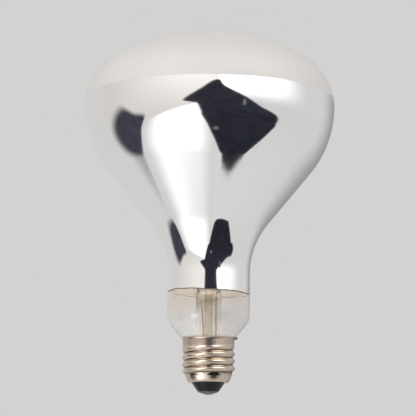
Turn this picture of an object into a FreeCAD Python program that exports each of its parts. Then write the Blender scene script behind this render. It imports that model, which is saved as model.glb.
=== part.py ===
import FreeCAD, Part
import math
import os

# Infrared reflector lamp with an E27 screw cap, in millimetres.
# The axis is +Z with the cap down, and the origin is the lowest point of the centre contact.
# Heights build up from the contact to the crown of the bulb.

# Screw cap
contact_depth = 1.9        # contact below the insulator
contact_radius = 4.9
contact_sheet = 0.4
eyelet_radius = 1.3
eyelet_length = 3.0
solder_radius = 2.3
solder_rise = 0.6          # solder below the contact plate
insulator_foot_radius = 5.3
insulator_height = 4.2     # black cone below the shell
insulator_plug = 3.0       # part of it inside the shell
insulator_plug_flare = 1.3
shell_sheet = 0.25
shell_mouth_radius = 8.2   # hole in the shell's floor
shell_floor_width = 1.3
shell_foot_radius = 11.3   # where the thread begins
shell_foot_height = 3.1    # above the shell's floor
shell_cone_fullness = 0.55 # 1 is a straight cone from the floor to the thread
thread_pitch = 3.629       # seven turns to the inch
thread_major_radius = 13.1
thread_minor_radius = 12.05
thread_length = 14.4
thread_run_in = 2.9
thread_run_out = 1.2
thread_crest_height = 2.08 # a crest on the +X side, above the origin
skirt_radius = 12.75
skirt_length = 3.5
rim_radius = 13.45
rim_height = 1.0
rim_flare = 1.5            # 1 is a straight flare
cement_width = 1.9         # between the skirt and the bulb's throat

# Bulb outline
glass_wall = 1.0
bulb_radius = 62.5
crown_radius = 91.8
shoulder_radius = 26.7
belly_radius = 51.9
cone_angle = 39.46         # from the axis
flare_radius = 40.4        # hollow curve from the cone to the neck
neck_radius = 20.34
neck_length = 19.6
heel_radius = 9.3          # round at the neck's lower end
heel_angle = 40.0          # taper from the heel to the cap, from the axis
throat_fillet = 3.0
throat_length = 2.8

# Reflector coating
coating_thickness = 0.12
coating_upper_offset = 3.1 # edge above the widest part of the bulb
coating_lower_offset = 9.6 # edge below the top of the neck, on the axis
coating_tilt = 2.3         # lower edge drops towards +X

# Stem, leads and filament
stem_radius = 6.2
stem_wall = 0.9
stem_length = 29.5         # from the seal to the press
press_width = 13.0
press_thickness = 4.6
press_shoulder = 5.0
press_height = 6.0
pump_hole_radius = 0.9
pump_hole_rise = 2.2
exhaust_radius = 2.1
exhaust_wall = 0.7
exhaust_length = 35.0      # to the centre of its round tip
lead_spacing = 7.4         # between the two leads in the press
outer_lead_radius = 0.22
seal_wire_radius = 0.35
inner_lead_radius = 0.45
contact_lead_pass = 2.6    # contact lead beside the exhaust tube
contact_lead_drop = 2.0    # straight run below the press
lead_bend = 1.2
inner_lead_bend = 6.0
inner_lead_foot = 5.0
inner_lead_top = 4.0
rod_radius = 2.0
rod_length = 30.0
button_radius = 3.6
button_height = 4.0
support_count = 5
support_radius = 0.25
support_grip = 1.6         # length of a support inside the button
support_bend = 3.0
support_tail = 1.0
filament_ring_radius = 17.0
filament_coil_radius = 0.9
filament_gap_angle = 44.0  # opening of the ring, on the +Y side
filament_rise = 43.0       # above the top of the neck

# Fits
seat_gap = 0.05            # glass to the cap's rim
bond_gap = 0.02            # cement and solder to what they hold
hook_gap = 0.15            # support hook round the coil
notch_gap = 0.08           # rim notch round the shell lead

# Solder bead on the rim
bead_radius = 0.8
bead_cover = 0.5           # length of the shell lead inside it
bead_sag = 0.3             # its centre below the lead's end

# Poles of the shell's spline surface
turn_poles = 16
pitch_poles = 6
cone_poles = 4
skirt_poles = 3
rim_poles = 3
floor_poles = 3

# Heights of the cap
plate_top = contact_depth
shell_floor = contact_depth + insulator_height
thread_low = shell_floor + shell_foot_height
thread_high = thread_low + thread_length
rim_foot = thread_high + skirt_length
rim_top = rim_foot + rim_height

# The bulb's throat goes into the cap's skirt, and the shell lead passes between it and the thread
throat_radius = skirt_radius - shell_sheet - cement_width
shell_lead_radius = (throat_radius + thread_minor_radius - shell_sheet) / 2

# Heights of the bulb, from the cap's rim to the crown
heel = math.radians(heel_angle)
cone = math.radians(cone_angle)
rim_inner_radius = rim_radius - shell_sheet
taper_foot_radius = throat_radius + throat_fillet * (1 - math.cos(heel))
taper_head_radius = neck_radius - heel_radius * (1 - math.cos(heel))
seat_radius = rim_inner_radius - seat_gap
taper_foot = rim_top - (seat_radius - taper_foot_radius) / math.tan(heel)
throat_top = taper_foot - throat_fillet * math.sin(heel)
seal = throat_top - throat_length
taper_head = taper_foot + (taper_head_radius - taper_foot_radius) / math.tan(heel)
neck_bottom = taper_head + heel_radius * math.sin(heel)
neck_top = neck_bottom + neck_length
cone_foot_radius = neck_radius + flare_radius * (1 - math.cos(cone))
cone_head_radius = bulb_radius - belly_radius * (1 - math.cos(cone))
cone_foot = neck_top + flare_radius * math.sin(cone)
cone_head = cone_foot + (cone_head_radius - cone_foot_radius) / math.tan(cone)
widest = cone_head + belly_radius * math.sin(cone)
crown_reach = crown_radius - shoulder_radius
shoulder_reach = bulb_radius - shoulder_radius
crown_centre = widest - math.sqrt(crown_reach ** 2 - shoulder_reach ** 2)
crown_top = crown_centre + crown_radius

# Heights of the stem and filament
press_foot = seal + stem_length
press_neck = press_foot + press_shoulder
press_top = press_neck + press_height
rod_top = press_top + rod_length
support_height = rod_top - button_height / 2
filament_height = neck_top + filament_rise
lead_offset = lead_spacing / 2

axis_point = FreeCAD.Vector(0, 0, 0)
up = FreeCAD.Vector(0, 0, 1)
back = FreeCAD.Vector(0, 1, 0)


def point(radius, height):
    """A point of a section, in the plane of X and Z."""
    return FreeCAD.Vector(radius, 0, height)


def line(start, end):
    return Part.LineSegment(start, end).toShape()


def arc(centre, radius, start, end):
    """An arc of a section between two angles in degrees, measured from +X towards +Z."""
    angles = [math.radians(a) for a in (start, (start + end) / 2, end)]
    ends = [centre + point(radius * math.cos(a), radius * math.sin(a)) for a in angles]
    return Part.Arc(*ends).toShape()


def joined(edges):
    """Edges with straight runs put in wherever one ends short of the next."""
    run = []
    for edge in edges:
        if run:
            before = run[-1].valueAt(run[-1].LastParameter)
            after = edge.valueAt(edge.FirstParameter)
            if before.distanceToPoint(after) > 1e-7:
                run.append(line(before, after))
        run.append(edge)
    return run


def turned(edges):
    """The solid of a closed section turned about the axis, with its seam at -X, away from the side solder."""
    section = Part.Face(Part.Wire(edges))
    return section.revolve(axis_point, up, 360).rotate(axis_point, up, 180)


def polygon(points):
    return [line(a, b) for a, b in zip(points, points[1:] + points[:1])]


def cylinder(radius, low, high, x=0.0):
    return Part.makeCylinder(radius, high - low, point(x, low), up)


def bulb_outline(inset):
    """The bulb's section from the crown to the throat's end, moved inward by inset."""
    crown = math.degrees(math.atan2(widest - crown_centre, shoulder_reach))
    curves = [
        arc(point(0, crown_centre), crown_radius - inset, 90, crown),
        arc(point(shoulder_reach, widest), shoulder_radius - inset, crown, 0),
        arc(point(bulb_radius - belly_radius, widest), belly_radius - inset, 0, -cone_angle),
        arc(point(neck_radius + flare_radius, neck_top), flare_radius + inset, 180 - cone_angle, 180),
        arc(point(neck_radius - heel_radius, neck_bottom), heel_radius - inset, 0, -heel_angle),
        arc(point(throat_radius + throat_fillet, throat_top), throat_fillet + inset, 180 - heel_angle, 180),
        line(point(throat_radius - inset, throat_top), point(throat_radius - inset, seal)),
    ]
    return joined(curves)


def bulb_layer(outer_inset, inner_inset):
    """The wall between two insets of the bulb's outline."""
    outer = bulb_outline(outer_inset)
    inner = bulb_outline(inner_inset)
    end = line(point(throat_radius - outer_inset, seal), point(throat_radius - inner_inset, seal))
    top = line(point(0, crown_top - inner_inset), point(0, crown_top - outer_inset))
    return turned(outer + [end] + inner[::-1] + [top])


def bulb_block(inset):
    """The whole space inside an inset of the bulb's outline."""
    end = line(point(throat_radius - inset, seal), point(0, seal))
    axis = line(point(0, seal), point(0, crown_top - inset))
    return turned(bulb_outline(inset) + [end, axis])


def slab(low, high, tilt=0.0):
    """A wide block between two heights, tilted about its lower face's centre towards +X."""
    width = 4 * bulb_radius
    block = Part.makeBox(width, width, high - low, FreeCAD.Vector(-width / 2, -width / 2, low))
    return block.rotate(point(0, low), back, tilt)


def glass_envelope():
    return bulb_layer(0, glass_wall)


def reflector_coating():
    lining = bulb_layer(glass_wall, glass_wall + coating_thickness)
    lower_edge = slab(neck_top - coating_lower_offset, crown_top, coating_tilt)
    upper_edge = slab(seal, widest + coating_upper_offset)
    return lining.common(lower_edge).common(upper_edge)


def bent_path(points, bends):
    """A wire of straight runs joined by tangent arcs of the given radii."""
    edges = []
    start = points[0]
    for before, corner, after, bend in zip(points, points[1:], points[2:], bends):
        to_before = (before - corner).normalize()
        to_after = (after - corner).normalize()
        half = to_before.getAngle(to_after) / 2
        reach = bend / math.tan(half)
        middle = (to_before + to_after).normalize()
        nearest = corner + middle * (bend / math.sin(half) - bend)
        first = corner + to_before * reach
        last = corner + to_after * reach
        edges += [line(start, first), Part.Arc(first, nearest, last).toShape()]
        start = last
    return Part.Wire(edges + [line(start, points[-1])])


def swept(path, radius):
    """A round wire along a path."""
    first = path.OrderedEdges[0]
    start = first.valueAt(first.FirstParameter)
    section = Part.Wire([Part.Circle(start, first.tangentAt(first.FirstParameter), radius).toShape()])
    return path.makePipeShell([section], True, False)


def smooth_step(share):
    """A blend from 0 to 1 with level ends."""
    share = min(max(share, 0.0), 1.0)
    return share * share * (3 - 2 * share)


def thread_row(height, turn):
    """The shell's outer radius in the thread, at a height and an angle round the axis."""
    run_in = smooth_step((height - thread_low) / thread_run_in)
    run_out = smooth_step((thread_high - height) / thread_run_out)
    mean = (thread_major_radius + thread_minor_radius) / 2
    depth = (thread_major_radius - thread_minor_radius) / 2
    base = shell_foot_radius + (mean - shell_foot_radius) * run_in + (skirt_radius - mean) * (1 - run_out)
    wave = math.cos(2 * math.pi * (height - thread_crest_height) / thread_pitch - turn)
    pole_step = 2 * math.pi / pitch_poles
    return base + depth * run_in * run_out * wave * spline_stand_out(pole_step)


def spline_stand_out(step):
    """How far a cubic spline's poles stand outside a wave that has a pole at each step."""
    return 3 / (2 + math.cos(step))


def shares(count):
    """Even steps from above 0 to 1."""
    return [(index + 1) / count for index in range(count)]


def shell_sections():
    """Rows of the shell's outer face: height, radius by turn, and the sheet's lean from upright."""
    corner = shell_mouth_radius + shell_floor_width
    cone_width = shell_foot_radius - corner
    rows = [(shell_floor, shell_mouth_radius, math.pi / 2)]
    for share in shares(floor_poles):
        rows.append((shell_floor, shell_mouth_radius + shell_floor_width * share, math.pi / 2))
    for share in shares(cone_poles)[:-1]:
        slope = cone_width / shell_foot_height * shell_cone_fullness * share ** (shell_cone_fullness - 1)
        radius = corner + cone_width * share ** shell_cone_fullness
        rows.append((shell_floor + shell_foot_height * share, radius, math.atan(slope)))
    for share in [0] + shares(round(thread_length / thread_pitch * pitch_poles)):
        rows.append((thread_low + thread_length * share, None, 0))
    for share in shares(skirt_poles):
        rows.append((thread_high + skirt_length * share, skirt_radius, 0))
    for share in shares(rim_poles):
        flare = skirt_radius + (rim_radius - skirt_radius) * share ** rim_flare
        rows.append((rim_foot + rim_height * share, flare, 0))
    return rows


def shell_face(inset):
    """The shell's spline surface, moved into the sheet by inset, with its seam at -X."""
    stand_out = spline_stand_out(2 * math.pi / turn_poles)
    rows = shell_sections()
    poles = []
    for index in range(turn_poles):
        turn = math.pi + 2 * math.pi * index / turn_poles
        ring = []
        for height, radius, lean in rows:
            radius = thread_row(height, turn) if radius is None else radius
            radius = (radius - inset * math.cos(lean)) * stand_out
            height = height + inset * math.sin(lean)
            ring.append(FreeCAD.Vector(radius * math.cos(turn), radius * math.sin(turn), height))
        poles.append(ring)
    degree = 3
    along_knots = list(range(len(rows) - degree + 1))
    along_counts = [degree + 1] + [1] * (len(along_knots) - 2) + [degree + 1]
    turn_knots = list(range(turn_poles + 1))
    turn_counts = [1] * len(turn_knots)
    surface = Part.BSplineSurface()
    surface.buildFromPolesMultsKnots(
        poles, turn_counts, along_counts, turn_knots, along_knots, True, False, degree, degree
    )
    return surface.toShape()


def closed_edges(face):
    """The face's two end rings, lower first."""
    rings = [edge for edge in face.Edges if edge.isClosed()]
    return sorted(rings, key=lambda edge: edge.CenterOfMass.z)


def cap_shell(lead_notch):
    outer = shell_face(0)
    inner = shell_face(shell_sheet)
    ends = [Part.makeRuledSurface(a, b) for a, b in zip(closed_edges(outer), closed_edges(inner))]
    skin = Part.makeShell([outer, inner] + ends)
    skin.sewShape()
    solid = Part.makeSolid(Part.Shell(skin.Faces))
    if solid.Volume < 0:
        solid.reverse()
    return solid.cut(lead_notch)


def cap_insulator():
    neck = shell_mouth_radius - bond_gap
    seat = shell_floor + shell_sheet
    ledge = shell_mouth_radius + shell_floor_width / 2
    plug_top = seat + insulator_plug
    return turned(polygon([
        point(eyelet_radius, contact_depth),
        point(insulator_foot_radius, contact_depth),
        point(neck, shell_floor),
        point(neck, seat),
        point(ledge, seat),
        point(ledge + insulator_plug_flare, plug_top),
        point(eyelet_radius + insulator_plug_flare, plug_top),
        point(eyelet_radius, plug_top - insulator_plug_flare),
    ]))


def contact_plate():
    """A dished disc with an eyelet that reaches up into the insulator."""
    bore = eyelet_radius - contact_sheet
    face = solder_rise
    return turned(polygon([
        point(bore, face),
        point(solder_radius, face),
        point(contact_radius, plate_top - contact_sheet),
        point(contact_radius, plate_top),
        point(eyelet_radius, plate_top),
        point(eyelet_radius, plate_top + eyelet_length),
        point(bore, plate_top + eyelet_length),
    ]))


def contact_solder(lead):
    """A dot of solder that closes the eyelet, domed below the plate."""
    bore = eyelet_radius - contact_sheet - bond_gap
    radius = (solder_radius ** 2 + solder_rise ** 2) / (2 * solder_rise)
    dome = Part.makeSphere(radius, point(0, radius))
    dome = dome.common(cylinder(solder_radius, 0, solder_rise))
    plug = cylinder(bore, solder_rise, plate_top + eyelet_length)
    return dome.fuse(plug).removeSplitter().cut(lead)


def basing_cement(lead):
    """A ring in the skirt, clear of the thread's run-out."""
    outer = skirt_radius - shell_sheet - bond_gap
    ring = cylinder(outer, thread_high + skirt_length / skirt_poles, rim_foot)
    return ring.cut(bulb_block(-bond_gap)).cut(lead)


def stem_tube(seal_wires):
    """The flare, sealed to the throat, and the press that holds the leads."""
    bell = throat_radius - glass_wall - stem_radius
    centre = point(throat_radius - glass_wall, seal + bell)
    bore = stem_radius - stem_wall
    section = [
        line(point(throat_radius, seal), point(throat_radius - glass_wall, seal)),
        arc(centre, bell, 270, 180),
        line(point(stem_radius, seal + bell), point(stem_radius, press_foot)),
        line(point(stem_radius, press_foot), point(bore, press_foot)),
        line(point(bore, press_foot), point(bore, seal + bell)),
        arc(centre, bell + stem_wall, 180, 270),
        line(point(throat_radius - glass_wall, seal - stem_wall), point(throat_radius, seal - stem_wall)),
        line(point(throat_radius, seal - stem_wall), point(throat_radius, seal)),
    ]
    flat_end = press_ring(press_neck)
    shoulder = Part.makeLoft([stem_ring(press_foot), flat_end], True, True)
    press = Part.Face(flat_end).extrude(up * press_height)
    glass = turned(section).fuse([shoulder, press]).removeSplitter()
    pump = cylinder(pump_hole_radius, press_foot, press_foot + pump_hole_rise)
    outlet = Part.makeCylinder(pump_hole_radius, stem_radius * 2, point(0, press_foot + pump_hole_rise), back)
    return glass.cut([pump.fuse(outlet)] + seal_wires)


def stem_ring(height):
    """The stem's circle in four arcs, one for each edge of the press."""
    circle = Part.Circle(point(0, height), up, stem_radius)
    quarters = [math.radians(angle) for angle in (-45, 45, 135, 225, 315)]
    return Part.Wire([Part.Arc(circle, a, b).toShape() for a, b in zip(quarters, quarters[1:])])


def press_ring(height):
    """The press's section: two flats with round ends."""
    flat = (press_width - press_thickness) / 2
    side = press_thickness / 2
    right_front, right_back, left_back, left_front = [
        FreeCAD.Vector(x * flat, y * side, height) for x, y in ((1, -1), (1, 1), (-1, 1), (-1, -1))
    ]
    return Part.Wire([
        Part.Arc(right_front, point(press_width / 2, height), right_back).toShape(),
        line(right_back, left_back),
        Part.Arc(left_back, point(-press_width / 2, height), left_front).toShape(),
        line(left_front, right_front),
    ])


def exhaust_tube():
    """A tube from the press into the cap, with a round closed tip."""
    tip_centre = press_foot - exhaust_length
    bore = exhaust_radius - exhaust_wall
    return turned([
        arc(point(0, tip_centre), bore, -90, 0),
        line(point(bore, tip_centre), point(bore, press_foot)),
        line(point(bore, press_foot), point(exhaust_radius, press_foot)),
        line(point(exhaust_radius, press_foot), point(exhaust_radius, tip_centre)),
        arc(point(0, tip_centre), exhaust_radius, 0, -90),
        line(point(0, tip_centre - exhaust_radius), point(0, tip_centre - bore)),
    ])


def shell_lead_points():
    """The shell lead's route: down the stem, under the seal, and up out over the rim."""
    slope = point(math.sin(heel), math.cos(heel))
    outward = point(math.cos(heel), -math.sin(heel))
    in_notch = point(seat_radius, rim_top) + outward * (outer_lead_radius + seat_gap)
    turn_up = in_notch - slope * ((in_notch.x - shell_lead_radius) / slope.x)
    under = seal - stem_wall - 2 * lead_bend
    return [
        point(lead_offset, press_foot),
        point(lead_offset, under),
        point(shell_lead_radius, under - lead_bend),
        turn_up,
        in_notch + slope * bead_cover,
    ]


def shell_lead():
    return swept(bent_path(shell_lead_points(), [lead_bend] * 3), outer_lead_radius)


def lead_notch():
    """The cut in the rim that lets the shell lead out."""
    inside, outside = shell_lead_points()[-2:]
    way = outside - inside
    return Part.makeCylinder(outer_lead_radius + notch_gap, way.Length + bead_radius, inside, way)


def side_solder(shell, lead):
    """A bead over the end of the shell lead, on the rim and outside it."""
    end = shell_lead_points()[-1]
    bead = Part.makeSphere(bead_radius, end - point(0, bead_sag))
    inside_rim = turned(polygon([
        point(0, thread_high),
        point(skirt_radius - shell_sheet / 2, thread_high),
        point(skirt_radius - shell_sheet / 2, rim_foot),
        point(rim_radius - shell_sheet / 2, rim_top),
        point(0, rim_top),
    ]))
    return bead.cut([bulb_block(-bond_gap), inside_rim, shell, lead])


def contact_lead():
    """Down beside the exhaust tube and under its tip to the contact."""
    exhaust_tip = press_foot - exhaust_length - exhaust_radius
    return swept(bent_path([
        point(-lead_offset, press_foot),
        point(-lead_offset, press_foot - contact_lead_drop),
        point(-contact_lead_pass, taper_head),
        point(-contact_lead_pass, exhaust_tip),
        point(0, plate_top + eyelet_length + contact_lead_pass),
        point(0, contact_depth),
    ], [lead_bend] * 4), outer_lead_radius)


def seal_wire(side):
    return cylinder(seal_wire_radius, press_foot, press_top, side * lead_offset)


def inner_lead(side):
    """From the press up to one end of the filament ring."""
    gap = math.radians(filament_gap_angle / 2)
    end = FreeCAD.Vector(side * math.sin(gap), math.cos(gap), 0) * filament_ring_radius
    top = filament_height - filament_coil_radius
    return swept(bent_path([
        point(side * lead_offset, press_top),
        point(side * lead_offset, press_top + inner_lead_foot),
        end + up * (top - inner_lead_top),
        end + up * top,
    ], [inner_lead_bend] * 2), inner_lead_radius)


def filament():
    """The coil's outer form, a ring with a gap between the leads."""
    sweep = 360 - filament_gap_angle
    ring = Part.makeTorus(
        filament_ring_radius, filament_coil_radius, point(0, filament_height), up, 0, 360, sweep
    )
    return ring.rotate(axis_point, up, 90 + filament_gap_angle / 2)


def filament_support(index):
    """A wire from the button, out and up, hooked over the coil."""
    hook = filament_coil_radius + support_radius + hook_gap
    outside = filament_ring_radius + hook
    start = button_radius - support_grip
    edges = joined([
        line(point(start, support_height), point(outside - support_bend, support_height)),
        arc(point(outside - support_bend, support_height + support_bend), support_bend, 270, 360),
        arc(point(filament_ring_radius, filament_height), hook, 0, 180),
        line(point(outside - 2 * hook, filament_height), point(outside - 2 * hook, filament_height - support_tail)),
    ])
    turn = 90 + 360 * (index + 1) / (support_count + 1)
    return swept(Part.Wire(edges), support_radius).rotate(axis_point, up, turn)


def support_rod(supports):
    """A glass rod on the press, with a rounded button that the supports are set in."""
    middle = rod_top - button_height / 2
    half = button_height / 2
    rod = cylinder(rod_radius, press_top, middle)
    section = [
        line(point(0, middle - half), point(button_radius - half, middle - half)),
        arc(point(button_radius - half, middle), half, -90, 90),
        line(point(button_radius - half, middle + half), point(0, middle + half)),
        line(point(0, middle + half), point(0, middle - half)),
    ]
    return rod.fuse(turned(section)).removeSplitter().cut(supports)


def lamp_pieces():
    """Every piece by name."""
    supports = [filament_support(index) for index in range(support_count)]
    seals = {-1: seal_wire(-1), 1: seal_wire(1)}
    side_lead = shell_lead()
    centre_lead = contact_lead()
    shell = cap_shell(lead_notch())
    pieces = {
        "glass_envelope": glass_envelope(),
        "reflector_coating": reflector_coating(),
        "stem_tube": stem_tube(list(seals.values())),
        "exhaust_tube": exhaust_tube(),
        "support_rod": support_rod(supports),
        "contact_lead": centre_lead,
        "shell_lead": side_lead,
        "contact_seal_wire": seals[-1],
        "shell_seal_wire": seals[1],
        "contact_inner_lead": inner_lead(-1),
        "shell_inner_lead": inner_lead(1),
        "filament": filament(),
        "cap_shell": shell,
        "cap_insulator": cap_insulator(),
        "contact_plate": contact_plate(),
        "contact_solder": contact_solder(centre_lead),
        "side_solder": side_solder(shell, side_lead),
        "basing_cement": basing_cement(side_lead),
    }
    for index, support in enumerate(supports):
        pieces[f"filament_support_{index + 1}"] = support
    return pieces


os.makedirs("parts", exist_ok=True)
for name, shape in lamp_pieces().items():
    shape.exportStep(f"parts/{name}.step")
    print(f"{name}: {len(shape.Solids)} solid, {shape.Volume:.1f} mm3, valid {shape.isValid()}")
print(f"overall length {crown_top:.1f} mm, neck from {neck_bottom:.1f} to {neck_top:.1f} mm")
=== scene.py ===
import math
from types import SimpleNamespace

import bpy
from bpy.props import FloatProperty, FloatVectorProperty, IntProperty, PointerProperty
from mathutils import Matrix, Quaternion, Vector, noise
from mathutils.geometry import interpolate_bezier


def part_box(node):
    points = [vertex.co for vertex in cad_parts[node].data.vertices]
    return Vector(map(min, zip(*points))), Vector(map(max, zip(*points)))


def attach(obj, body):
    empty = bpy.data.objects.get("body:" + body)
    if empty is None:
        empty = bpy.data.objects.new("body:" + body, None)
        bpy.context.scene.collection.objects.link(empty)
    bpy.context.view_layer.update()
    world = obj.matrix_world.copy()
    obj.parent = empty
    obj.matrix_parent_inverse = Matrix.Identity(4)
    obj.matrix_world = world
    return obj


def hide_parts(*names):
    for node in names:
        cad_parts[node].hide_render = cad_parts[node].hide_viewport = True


# The packed frame comes first, so that settings below can take their defaults from it.
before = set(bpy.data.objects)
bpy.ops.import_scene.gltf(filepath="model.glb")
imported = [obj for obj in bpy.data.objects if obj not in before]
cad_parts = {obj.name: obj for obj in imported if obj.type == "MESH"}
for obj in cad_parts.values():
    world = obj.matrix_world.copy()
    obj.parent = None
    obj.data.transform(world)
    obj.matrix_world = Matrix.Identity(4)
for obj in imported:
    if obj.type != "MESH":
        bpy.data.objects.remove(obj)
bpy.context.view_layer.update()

bl_info = {
    "name": "Infrared heat lamp bulb",
    "version": (1, 0, 0),
    "blender": (4, 5, 0),
    "location": "View3D > Sidebar > Heat lamp",
    "description": "Dresses the packed frame of a reflector lamp in glass, mirror and metal",
    "category": "Add Mesh",
}

MM = 0.001
CLEARANCE = 0.02 * MM
SENSOR_WIDTH = 36


def srgb(code, alpha=1.0):
    """A colour written as an sRGB hex value, as linear red, green, blue and alpha."""
    parts = [int(code[index:index + 2], 16) / 255 for index in (1, 3, 5)]
    linear = [part / 12.92 if part <= 0.04045 else ((part + 0.055) / 1.055) ** 2.4 for part in parts]
    return (*linear, alpha)


# Settings

class HeatLampGlass(bpy.types.PropertyGroup):
    """Sizes of the blown bulb and its mirror."""

    wall: FloatProperty(
        name="Glass wall", description="Thickness of the blown glass", default=1.0 * MM, unit="LENGTH")
    bulb_radius: FloatProperty(
        name="Bulb radius", description="At the widest part",
        default=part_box("glass_envelope")[1].x, unit="LENGTH")
    crown_radius: FloatProperty(
        name="Crown radius", description="Curve of the dome's middle", default=91.8 * MM, unit="LENGTH")
    shoulder_radius: FloatProperty(
        name="Shoulder radius", description="Curve from the dome to the widest part",
        default=26.7 * MM, unit="LENGTH")
    belly_radius: FloatProperty(
        name="Belly radius", description="Curve from the widest part to the cone",
        default=51.9 * MM, unit="LENGTH")
    cone_angle: FloatProperty(
        name="Cone angle", description="Slope of the cone from the axis",
        default=math.radians(39.46), subtype="ANGLE")
    flare_radius: FloatProperty(
        name="Flare radius", description="Hollow curve from the cone to the neck",
        default=40.4 * MM, unit="LENGTH")
    neck_radius: FloatProperty(
        name="Neck radius", description="Straight part of the neck", default=20.34 * MM, unit="LENGTH")
    neck_length: FloatProperty(
        name="Neck length", description="Straight part of the neck", default=19.6 * MM, unit="LENGTH")
    heel_radius: FloatProperty(
        name="Heel radius", description="Round at the neck's lower end", default=9.3 * MM, unit="LENGTH")
    heel_angle: FloatProperty(
        name="Heel angle", description="Taper from the heel to the cap, from the axis",
        default=math.radians(40.0), subtype="ANGLE")
    throat_radius: FloatProperty(
        name="Throat radius", description="Tube inside the cap", default=10.6 * MM, unit="LENGTH")
    throat_fillet: FloatProperty(
        name="Throat fillet", description="Curve from the taper to the throat",
        default=3.0 * MM, unit="LENGTH")
    throat_length: FloatProperty(
        name="Throat length", description="Straight part of the throat", default=2.8 * MM, unit="LENGTH")
    seat_radius: FloatProperty(
        name="Seat radius", description="Glass where it meets the cap's rim",
        default=13.15 * MM, unit="LENGTH")
    mirror_top: FloatProperty(
        name="Mirror top", description="Mirror's upper edge above the widest part",
        default=3.1 * MM, unit="LENGTH")
    mirror_foot: FloatProperty(
        name="Mirror foot", description="Mirror's lower edge below the top of the neck",
        default=9.6 * MM, unit="LENGTH")
    mirror_tilt: FloatProperty(
        name="Mirror tilt", description="Slope of the lower edge, down to the right",
        default=math.radians(2.3), subtype="ANGLE")
    mirror_ripple: FloatProperty(
        name="Mirror ripple", description="Waviness of the lower edge", default=0.45 * MM, unit="LENGTH")
    film_edge: FloatProperty(
        name="Film edge", description="Width of the thin brown edge of the mirror film",
        default=0.45 * MM, unit="LENGTH")
    film_thickness: FloatProperty(
        name="Film thickness", description="Mirror film inside the glass", default=0.1 * MM, unit="LENGTH")
    segments: IntProperty(
        name="Segments", description="Faces round the bulb", default=240, min=24)


class HeatLampStem(bpy.types.PropertyGroup):
    """Sizes of the stem, the exhaust tube and the filament."""

    radius: FloatProperty(
        name="Stem radius", description="Outside of the stem tube", default=6.2 * MM, unit="LENGTH")
    wall: FloatProperty(
        name="Stem wall", description="Thickness of the stem tube", default=0.9 * MM, unit="LENGTH")
    press_width: FloatProperty(
        name="Press width", description="Flattened end of the stem", default=13.0 * MM, unit="LENGTH")
    press_thickness: FloatProperty(
        name="Press thickness", description="Flattened end of the stem", default=4.6 * MM, unit="LENGTH")
    press_shoulder: FloatProperty(
        name="Press shoulder", description="From the round tube to the flat press",
        default=5.0 * MM, unit="LENGTH")
    press_height: FloatProperty(
        name="Press height", description="Flat part of the press", default=6.0 * MM, unit="LENGTH")
    exhaust_radius: FloatProperty(
        name="Exhaust radius", description="Outside of the exhaust tube", default=2.1 * MM, unit="LENGTH")
    exhaust_wall: FloatProperty(
        name="Exhaust wall", description="Thickness of the exhaust tube", default=0.7 * MM, unit="LENGTH")
    ring_radius: FloatProperty(
        name="Filament ring", description="Middle of the coiled ring", default=17.0 * MM, unit="LENGTH")
    coil_radius: FloatProperty(
        name="Coil radius", description="Outside of the coil", default=0.9 * MM, unit="LENGTH")
    coil_wire: FloatProperty(
        name="Coil wire", description="Radius of the tungsten wire", default=0.13 * MM, unit="LENGTH")
    coil_pitch: FloatProperty(
        name="Coil pitch", description="From turn to turn", default=0.5 * MM, unit="LENGTH")
    ring_gap: FloatProperty(
        name="Ring gap", description="Opening of the ring between its leads",
        default=math.radians(44.0), subtype="ANGLE")


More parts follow.
